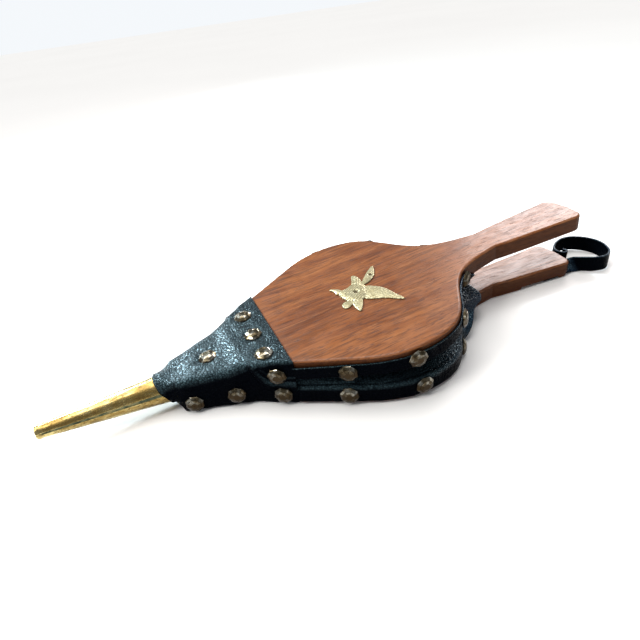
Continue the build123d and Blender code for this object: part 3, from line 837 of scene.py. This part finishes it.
def make_wrap():
    """One skin of leather round the nose and both boards' front ends, slack along the slanting fold."""
    near, far = -63.0, WRAP_REAR
    spans = ((near, -50, 16), (-48.8, -8, 38), (-7.3, far, 52))
    places = np.concatenate([np.linspace(*span) for span in spans])
    grid = wrap_grid(places)
    rows, cols = grid.shape[:2]
    angle = np.linspace(0, 2 * math.pi, cols, endpoint=False)
    slant = np.exp(-(((places - near) / 7.0) ** 2))
    grid[:, :, 0] += slant[:, None] * (0.6 * np.sin(3 * angle) + WRAP_SLANT * np.cos(angle))[None, :]
    flat = grid.reshape(-1, 3)
    normals = grid_normals(grid).reshape(-1, 3)
    probe = (rows // 2) * cols + BOTTOM_COLS + CORNER_COLS + SIDE_COLS // 2
    flip = normals[probe][1] < 0
    if flip:
        normals = -normals
    d = flat[:, 0] - HINGE_X
    height = flat[:, 2]
    soft = 0.34 * smooth_noise(flat, 15.0, 11) + 0.16 * smooth_noise(flat * np.array([0.6, 1, 1]), 6.0, 12)
    grain = 0.11 * smooth_noise(flat, 2.7, 14)
    ripple = 0.32 * np.sin((flat[:, 1] * 0.55 - d * 0.25) * 0.9 + 2 * smooth_noise(flat, 20.0, 13))
    ripple *= np.exp(-(((d + 30) / 22) ** 2))
    on_side = smooth_step(np.abs(normals[:, 1]), 0.35, 0.8)
    fold_run = np.linspace(FOLD_PLACES[0], FOLD_PLACES[-1], 200)
    fold_line = catmull(np.stack([FOLD_PLACES, FOLD_HEIGHTS], -1), 200)
    lip = np.interp(d, fold_line[:, 0], fold_line[:, 1])
    fold_slope = np.gradient(np.interp(fold_run, fold_line[:, 0], fold_line[:, 1]), fold_run)
    fall = np.interp(d, fold_run, fold_slope)
    from_fold = (height - lip) / np.hypot(1, fall)
    behind = np.maximum(from_fold - 0.5, 0)
    fold = 2.1 * smooth_step(from_fold, -0.9, 0.5) * np.exp(-((behind / 4.2) ** 2))
    fold -= 0.45 * np.exp(-(((from_fold + 1.9) / 1.3) ** 2))
    crease = np.exp(-(((from_fold - 8.2) / 1.7) ** 2)) - 0.7 * np.exp(-(((from_fold - 5.6) / 1.1) ** 2))
    fold += 0.9 * crease * smooth_step(d, 1.0, 6.0) * (height < 34)
    fold *= smooth_step(d, -3.0, 2.0) * on_side
    half = np.maximum(np.abs(grid[:, BOTTOM_COLS + CORNER_COLS, 1]), 1.0).repeat(cols)
    crown = 1.3 * (1 - np.clip(np.abs(flat[:, 1]) / half, 0, 1) ** 2) * smooth_step(normals[:, 2], 0.6, 0.95)
    crown *= smooth_step(d, -50.0, -38.0) * (1 - smooth_step(d, -6.0, 3.0))
    for seat, _ in seats["nose_block_studs"]:
        crown *= 1 - np.exp(-(np.hypot(flat[:, 0] - seat[0], flat[:, 1] - seat[1]) / 10.0) ** 2)
    end = np.clip((d + 63) / 8, 0, 1) * np.clip((27.6 - d) / 4, 0.15, 1)
    lift = (soft + grain + ripple * 0.6) * end + fold + crown
    below = height < 3.4
    lift = np.where(below, np.minimum(lift, 0.0) * 0.2, lift)
    flat = flat + normals * lift[:, None]
    groups = ("nose_block_studs", "wrap_lower_studs", "wrap_upper_studs", "wrap_top_studs")
    flat = pulled(flat, normals, groups, 0.3)
    flat[:, 2] = np.maximum(flat[:, 2], 0.35)
    faces = grid_faces(rows, cols, True, flip)
    wrap = leather_shell("nose_leather", flat, normals, faces, LEATHER_T)
    dress(wrap, LEATHER, "black_leather", "nose_wrap")
    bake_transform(wrap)


make_wrap()


# ---------------------------------------------------------------- domed studs
def stud_mesh(seat, axis, turn, spread):
    """A cut dome: a flat eight-sided crown and two rings of raised flats, with grooves between them."""
    a, b, axis = frame_of(axis, turn)
    sides = 8
    rings = STUD_RINGS
    verts, faces = [], []
    for k, (radius, height) in enumerate(rings):
        for i in range(sides):
            angle = 2 * math.pi * i / sides
            wobble = spread[k, i] if k < 3 else (0.0, 0.0)
            r, h = radius + 0.12 * wobble[0], height + 0.06 * wobble[1]
            verts.append(seat + a * (r * math.cos(angle)) + b * (r * math.sin(angle)) + axis * h)
    plates = [tuple(range(sides))]
    for k in range(len(rings) - 1):
        for i in range(sides):
            j = (i + 1) % sides
            side = (k * sides + i, (k + 1) * sides + i, (k + 1) * sides + j, k * sides + j)
            (plates if k < 2 else faces).append(side)
    for plate in plates:
        corners = np.array([verts[i] for i in plate])
        centre = corners.mean(0)
        normal = unit(np.cross(corners[1] - corners[0], corners[-1] - corners[0]))
        if normal @ (centre - seat) < 0:
            normal = -normal
        inset = []
        for corner in corners:
            inset.append(len(verts))
            verts.append(corner + (centre - corner) * STUD_INSET + normal * STUD_RAISE)
        faces.append(tuple(inset))
        for i in range(len(plate)):
            j = (i + 1) % len(plate)
            faces.append((plate[i], plate[j], inset[j], inset[i]))
    faces.append(tuple((len(rings) - 1) * sides + i for i in range(sides)))
    return verts, faces


def make_studs():
    """Each group of studs as one piece, its faces turned outward."""
    for group, body in stud_groups.items():
        verts, faces = [], []
        for seat, axis in seats[group]:
            v, f = stud_mesh(seat, axis, RNG.uniform(0, math.pi / 4), RNG.uniform(-1, 1, (3, 8, 2)))
            for face in f:
                corners = np.array([v[i] for i in face])
                normal = np.cross(corners[1] - corners[0], corners[2] - corners[1])
                outward = normal @ (corners.mean(0) - (seat + axis * 0.1)) > 0
                turned = face if outward else face[::-1]
                faces.append(tuple(i + len(verts) for i in turned))
            verts += v
        obj = new_mesh(group.replace("_studs", "_domes"), verts, faces, smooth=False)
        dress(obj, STUD, "antique_brass", group)
        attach(obj, body)


make_studs()


# ---------------------------------------------------------------- nozzle
def make_nozzle():
    """Sheet brass rolled to a taper: the seam's overlap, a rolled lip at the tip and small dents."""
    around = 96
    seam_at = math.pi + math.radians(SEAM_TURN)
    lip = {-153.0: 0.05, -152.8: 0.30, -152.3: 0.48, -151.4: 0.48, -150.6: 0.28, -150.2: 0.05}
    outer_places = np.concatenate([list(lip), np.linspace(-149, NOZZLE_TAIL, 90)])
    rows = []
    angle = np.linspace(0, 2 * math.pi, around, endpoint=False) + seam_at
    side_of_seam = np.linspace(0, 2 * math.pi, around, endpoint=False)
    for d in outer_places:
        radius = TIP_RADIUS + TAPER * (d - NOZZLE_TIP) + lip.get(float(d), 0.0)
        before_seam = (side_of_seam - 2 * math.pi) / 0.10
        step = 0.32 * np.exp(-side_of_seam / 0.5) - 0.30 * np.exp(-(before_seam**2))
        r = radius + step * (0.4 if d < -150 else 1.0)
        rows.append(
            np.stack([np.full(around, HINGE_X + d), r * np.cos(angle), NOZZLE_Z + r * np.sin(angle)], -1)
        )
    outer = np.stack(rows, 0)
    flat = outer.reshape(-1, 3)
    axis_point = np.stack([flat[:, 0], np.zeros(len(flat)), np.full(len(flat), NOZZLE_Z)], -1)
    out = unit(flat - axis_point)
    flat = flat + out * (0.10 * smooth_noise(flat, 9.0, 21) + 0.05 * smooth_noise(flat, 4.0, 22))[:, None]
    outer = flat.reshape(outer.shape)
    inner_rows = []
    for d in (-153.0, -152.6, -141.0, -80.0, -53.0):
        tail = TIP_RADIUS + TAPER * (NOZZLE_TAIL - NOZZLE_TIP) - 0.9
        radius = BORE_RADIUS + (tail - BORE_RADIUS) * max(d - STRAIGHT_TO, 0) / (NOZZLE_TAIL - STRAIGHT_TO)
        radius += 0.35 if d == -153.0 else 0.0
        inner_rows.append(
            np.stack(
                [np.full(around, HINGE_X + d), radius * np.cos(angle), NOZZLE_Z + radius * np.sin(angle)], -1
            )
        )
    inner = np.stack(inner_rows, 0)
    rings = np.concatenate([inner[::-1], outer], 0)
    count = rings.shape[0]
    faces = grid_faces(count, around, True)
    last = (count - 1) * around
    faces += [(last + j, last + (j + 1) % around, (j + 1) % around, j) for j in range(around)]
    obj = new_mesh("nozzle_tube", rings.reshape(-1, 3), faces)
    centre = Vector((obj.data.polygons[count * around // 2].center))
    normal = obj.data.polygons[count * around // 2].normal
    if normal.y * centre.y + normal.z * (centre.z - NOZZLE_Z * MM) < 0:
        obj.data.flip_normals()
    dress(obj, BRASS, "brass", "nozzle")
    obj.data.materials.append(SEAM)
    for poly in obj.data.polygons:
        c = poly.center
        if c.x < (HINGE_X - 149) * MM:
            continue
        a = math.atan2(c.z - NOZZLE_Z * MM, c.y)
        gap = (a - seam_at + math.pi) % (2 * math.pi) - math.pi
        if -0.17 < gap < 0.0 and math.hypot(c.y, c.z - NOZZLE_Z * MM) > 0.0043:
            poly.material_index = 1
    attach(obj, LOWER)


make_nozzle()


# ---------------------------------------------------------------- hinge strip, inside the wrap
def make_hinge_strip():
    block_fall = (BLOCK_TOP - BLOCK_FRONT_TOP) / -BLOCK_FRONT
    line = [(d, BLOCK_TOP + d * block_fall) for d in (-12.1, -7)]
    line += [(-1, 33.4), (1.2, 33.9), (5.2, TOP_AT_HINGE + 0.3)]
    line += [(d, TOP_AT_HINGE + d * RISE) for d in (9, 12)]
    path = catmull(line, 26)
    path[:, 1] -= 0.75
    rows = []
    for y in np.linspace(-24, 24, 19):
        wave = 0.05 * np.sin(y * 0.8 + path[:, 0])
        rows.append(np.stack([HINGE_X + path[:, 0], np.full(len(path), y), path[:, 1] + wave], -1))
    grid = np.stack(rows, 0)
    normals = grid_normals(grid)
    flip = normals[9, 9, 2] < 0
    if flip:
        normals = -normals
    faces = grid_faces(*grid.shape[:2], flip=flip)
    obj = leather_shell("hinge_leather", grid.reshape(-1, 3), normals.reshape(-1, 3), faces, 1.0)
    dress(obj, TAN, "inner_leather", "hinge_strip")
    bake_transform(obj)


make_hinge_strip()


# ---------------------------------------------------------------- bird plate
def polygon_distance(points, outline):
    """Signed distance to a closed outline, negative inside."""
    a = outline
    b = np.roll(outline, -1, axis=0)
    best = np.full(len(points), 1e9)
    inside = np.zeros(len(points), bool)
    for p, q in zip(a, b):
        e = q - p
        w = points - p
        t = np.clip((w @ e) / max(e @ e, 1e-12), 0, 1)
        best = np.minimum(best, np.linalg.norm(w - t[:, None] * e, axis=1))
        if p[1] != q[1]:
            crosses = (p[1] > points[:, 1]) != (q[1] > points[:, 1])
            x = (q[0] - p[0]) * (points[:, 1] - p[1]) / (q[1] - p[1]) + p[0]
            inside ^= crosses & (points[:, 0] < x)
    return np.where(inside, -best, best)


def closed_curve(points, each=10):
    """A smooth closed outline through points."""
    p = np.asarray(points, float)
    count = len(p)
    out = []
    for i in range(count):
        for t in np.linspace(0, 1, each, endpoint=False):
            out.append(spline_point(p[i - 1], p[i], p[(i + 1) % count], p[(i + 2) % count], t))
    return np.array(out)


def make_bird():
    """A plain flying bird in stamped sheet: domed body, combed tail and wings."""
    body = [(92, 7), (99, 7.5), (106, 9.5), (113, 7), (115, 0), (112, -8), (106, -14), (98, -14), (92, -6)]
    head = [(90, 5), (94, 4.5), (95.5, 9), (93, 12.5), (88, 15.5), (89.5, 9.5)]
    tail = [(106, 8), (109, 15.5), (112.5, 22.5), (115.5, 20), (116, 12), (113, 5)]
    slender_wing = [(112, 4), (121, 5.5), (129.5, 12.5), (135, 25.5), (126.5, 20), (117, 10.5)]
    broad_wing = [(113, 1), (121, -4), (126, -12), (128.5, -23), (130.5, -34.5), (119, -24), (106, -14)]
    low_wing = [(105, -10), (102, -19), (95.5, -27.5), (94, -20), (96, -12)]
    feet = [(96, -10), (90, -9), (86.5, -12.5), (87, -17), (91, -17.5), (96, -14)]
    parts = [
        # outline, dome height, feather direction, feather pitch
        (closed_curve(body), 1.9, 0.5, 2.1),
        (closed_curve(head), 1.5, 0.0, 0.0),
        (closed_curve(tail), 1.1, 1.15, 1.9),
        (closed_curve(slender_wing), 1.0, 0.35, 1.8),
        (closed_curve(broad_wing), 1.15, -0.25, 1.7),
        (closed_curve(low_wing), 1.1, -1.0, 1.8),
        (closed_curve(feet), 1.0, 0.0, 0.0),
    ]
    pitch = 0.42
    xs = np.arange(84.0, 138.6, pitch)
    ys = np.arange(-37.4, 29.4, pitch)
    gx, gy = np.meshgrid(xs, ys, indexing="ij")
    points = np.stack([gx.ravel(), gy.ravel()], -1)
    fields = [polygon_distance(points, outline) for outline, *_ in parts]
    whole = np.min(fields, axis=0)
    inside = whole < 0.35 * pitch
    shape = gx.shape
    keep = inside.reshape(shape)
    cells = keep[:-1, :-1] & keep[1:, :-1] & keep[1:, 1:] & keep[:-1, 1:]
    field = whole.reshape(shape)
    grad = np.stack(np.gradient(field, pitch), -1).reshape(-1, 2)
    grad /= np.maximum(np.linalg.norm(grad, axis=1), 1e-6)[:, None]
    rim = np.abs(whole) < 0.62 * pitch
    points = points - grad * (np.where(rim, whole, 0.0))[:, None]
    height = np.zeros(len(points))
    for distance, (outline, dome, turn, comb) in zip(fields, parts):
        depth = np.maximum(-distance, 0)
        part = dome * (1 - np.exp(-depth / 1.7))
        if comb:
            across = -math.sin(turn) * points[:, 0] + math.cos(turn) * points[:, 1]
            groove = np.abs(np.sin(across * math.pi / comb))
            part -= 0.55 * (1 - groove) ** 2 * np.clip(depth / 1.0, 0, 1)
            part += 0.20 * np.exp(-(((depth - 0.75) / 0.4) ** 2))
        height = np.maximum(height, part * (distance < 0))
    eye = np.hypot(points[:, 0] - 92.6, points[:, 1] - 9.2)
    height -= 0.45 * np.exp(-((eye / 0.75) ** 2))
    for hole_x, hole_y in ((104.0, -3.0), (126.3, 14.3)):
        r = np.hypot(points[:, 0] - hole_x, points[:, 1] - hole_y)
        height = np.where(r < 2.4, np.minimum(height, 0.05 + 0.9 * np.clip((r - 1.6) / 0.8, 0, 1)), height)
    spots = np.stack([points[:, 0], points[:, 1], np.zeros(len(points))], -1)
    height = np.maximum(height, 0.0) + 0.13 * smooth_noise(spots, 1.2, 31) * (whole < -0.6)
    base = 0.12
    top = upper_point(points[:, 0], points[:, 1], BOARD + base + 0.55 + np.maximum(height, 0.0))
    bottom = upper_point(points[:, 0], points[:, 1], np.full(len(points), BOARD + base))
    index = np.arange(len(points)).reshape(shape)
    quads = [
        (index[i, j], index[i + 1, j], index[i + 1, j + 1], index[i, j + 1])
        for i, j in zip(*np.nonzero(cells))
    ]
    obj = closed_sheet("bird_plate", top, bottom, quads)
    dress(obj, PLATE, "pale_brass", "ornament")
    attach(obj, UPPER)


make_bird()


# ---------------------------------------------------------------- hanging strap
def make_strap():
    """Black leather strap: nailed flat under the handle, twisted on edge behind it, looped and curled."""
    line = [
        (292, -12, 2.15), (303, -12, 2.1), (314, -12, 2.15), (322, -12.3, 2.6), (328, -14.4, 5.2),
        (334, -21, 7.6), (342, -28.6, 8.4), (353, -31, 8.5), (363, -25.4, 8.4), (369.4, -14, 8.3),
        (370.6, -3, 8.3), (366, 8, 8.4), (357, 16, 8.5), (347, 18, 8.4), (337, 14.8, 8.3),
        (329.5, 9.6, 8.2), (325.6, 4, 8.2), (325.7, -1.4, 8.2), (329.4, -4.9, 8.2), (332.9, -2.6, 8.2),
        (331.6, 0.9, 8.2),
    ]
    path = catmull(line, 220)
    tangent = unit(np.gradient(path, axis=0))
    run = length_along(path)
    turn = (math.pi / 2) * smooth_step(run, 27, 47)
    section = []
    half_w, half_t, corner = 7.4, 0.95, 0.6
    for cx, cy, a0 in (
        (half_w - corner, half_t - corner, 0), (-(half_w - corner), half_t - corner, 90),
        (-(half_w - corner), -(half_t - corner), 180), (half_w - corner, -(half_t - corner), 270),
    ):
        for k in range(4):
            a = math.radians(a0 + 30 * k)
            section.append((cx + corner * math.cos(a), cy + corner * math.sin(a)))
    fill = []
    for i, p in enumerate(section):
        fill.append(p)
        q = section[(i + 1) % len(section)]
        if math.dist(p, q) > 3:
            fill += [(p[0] + (q[0] - p[0]) * s / 8, p[1] + (q[1] - p[1]) * s / 8) for s in range(1, 8)]
    section = np.array(fill)
    rows = []
    for k, p in enumerate(path):
        f = tangent[k]
        level = unit(np.cross(np.array([0, 0, 1.0]), f))
        up = np.cross(f, level)
        wide = level * math.cos(turn[k]) + up * math.sin(turn[k])
        thin = np.cross(f, wide)
        lean = 0.05 * math.sin(run[k] / 13.0) * (turn[k] > 1)
        wide = wide * math.cos(lean) + thin * math.sin(lean)
        thin = np.cross(f, wide)
        rows.append(p + section[:, :1] * wide + section[:, 1:] * thin)
    grid = np.stack(rows, 0) + np.array([HINGE_X, 0, 0])
    flat = grid.reshape(-1, 3)
    flat = flat + 0.10 * smooth_noise(flat, 5.0, 41)[:, None] * np.array([0.6, 0.6, 0.2])
    flat[:, 2] = np.maximum(flat[:, 2], 0.5)
    count, around = grid.shape[:2]
    faces = grid_faces(count, around, True)
    faces += [tuple(range(around))[::-1], tuple((count - 1) * around + j for j in range(around))]
    obj = new_mesh("hanging_strap", flat, faces)
    bpy.context.view_layer.update()
    probe = obj.data.polygons[len(obj.data.polygons) // 2]
    k = len(obj.data.polygons) // 2 // around
    if (np.array(probe.center) / MM - (path[k] + np.array([HINGE_X, 0, 0]))) @ np.array(probe.normal) < 0:
        obj.data.flip_normals()
    dress(obj, LEATHER, "black_leather", "strap")
    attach(obj, LOWER)


make_strap()


# ---------------------------------------------------------------- stage, light and camera
SKY_LIGHT, SKY_SEEN = 0.34, 0.97  # the sky's strength as it lights the scene, and as the camera sees it


def plain_floor():
    s = Shader("floor_pale")
    cloud = s.noise(s.place((1.2, 1.2, 1.2)), detail=2)
    shade = s.ramp(cloud, [(0.3, (0.92, 0.92, 0.92)), (0.7, (0.94, 0.94, 0.94))])
    material = s.finish(Base_Color=shade, Roughness=0.9, Specular_IOR_Level=0.1)
    half = 9000.0
    corners = [(-half, -half, 0), (half, -half, 0), (half, half, 0), (-half, half, 0)]
    floor = new_mesh("floor", corners, [(0, 1, 2, 3)])
    floor.data.materials.append(material)


def area_light(name, place, target, size, power, colour):
    data = bpy.data.lights.new(name, "AREA")
    data.shape = "DISK"
    data.size = size
    data.energy = power
    data.color = colour
    obj = bpy.data.objects.new(name, data)
    obj.location = place
    obj.rotation_mode = "QUATERNION"
    obj.rotation_quaternion = (Vector(target) - Vector(place)).to_track_quat("-Z", "Y")
    bpy.context.scene.collection.objects.link(obj)


plain_floor()
bpy.context.scene.view_settings.view_transform = "Standard"
world = bpy.data.worlds.new("studio")
bpy.context.scene.world = world
world.use_nodes = True
sky = world.node_tree.nodes["Background"]
rays = world.node_tree.nodes.new("ShaderNodeLightPath")
brightness = world.node_tree.nodes.new("ShaderNodeMapRange")
brightness.inputs["To Min"].default_value = SKY_LIGHT
brightness.inputs["To Max"].default_value = SKY_SEEN
world.node_tree.links.new(rays.outputs["Is Camera Ray"], brightness.inputs["Value"])
world.node_tree.links.new(brightness.outputs["Result"], sky.inputs["Strength"])
sky.inputs["Color"].default_value = (0.94, 0.97, 1.0, 1)
soft_sun = bpy.data.lights.new("soft_sun", "SUN")
soft_sun.angle = math.radians(50)
soft_sun.energy = 2.25
soft_sun.color = (1.0, 0.97, 0.93)
sun = bpy.data.objects.new("soft_sun", soft_sun)
sun.rotation_mode = "QUATERNION"
sun.rotation_quaternion = Vector((0.10, -0.22, -1.0)).to_track_quat("-Z", "Y")
bpy.context.scene.collection.objects.link(sun)
area_light("window_right", (0.95, 0.72, 0.62), (0.15, 0, 0.05), 0.60, 9, (1.0, 0.93, 0.92))
area_light("window_left", (-0.53, 0.96, 0.63), (-0.14, 0, 0.03), 0.26, 22, (0.80, 0.94, 1.0))
area_light("key_left", (-0.85, -0.10, 0.85), (-0.1, 0, 0), 0.30, 5, (1.0, 0.97, 0.92))

camera_data = bpy.data.cameras.new("camera")
camera = bpy.data.objects.new("camera", camera_data)
bpy.context.scene.collection.objects.link(camera)
camera_data.sensor_width = 36.0
camera_data.lens = 26.745
camera_data.clip_start = 0.01
camera_data.clip_end = 50
right, up = Vector((0.9108, -0.3980, -0.1099)), Vector((0.3103, 0.4842, 0.8181))
back = right.cross(up).normalized()
up = back.cross(right).normalized()
right = right.normalized()
camera.matrix_world = Matrix(
    (
        (right.x, up.x, back.x, -0.1464),
        (right.y, up.y, back.y, -0.3042),
        (right.z, up.z, back.z, 0.2497),
        (0, 0, 0, 1),
    )
)
bpy.context.scene.camera = camera

bpy.context.view_layer.update()
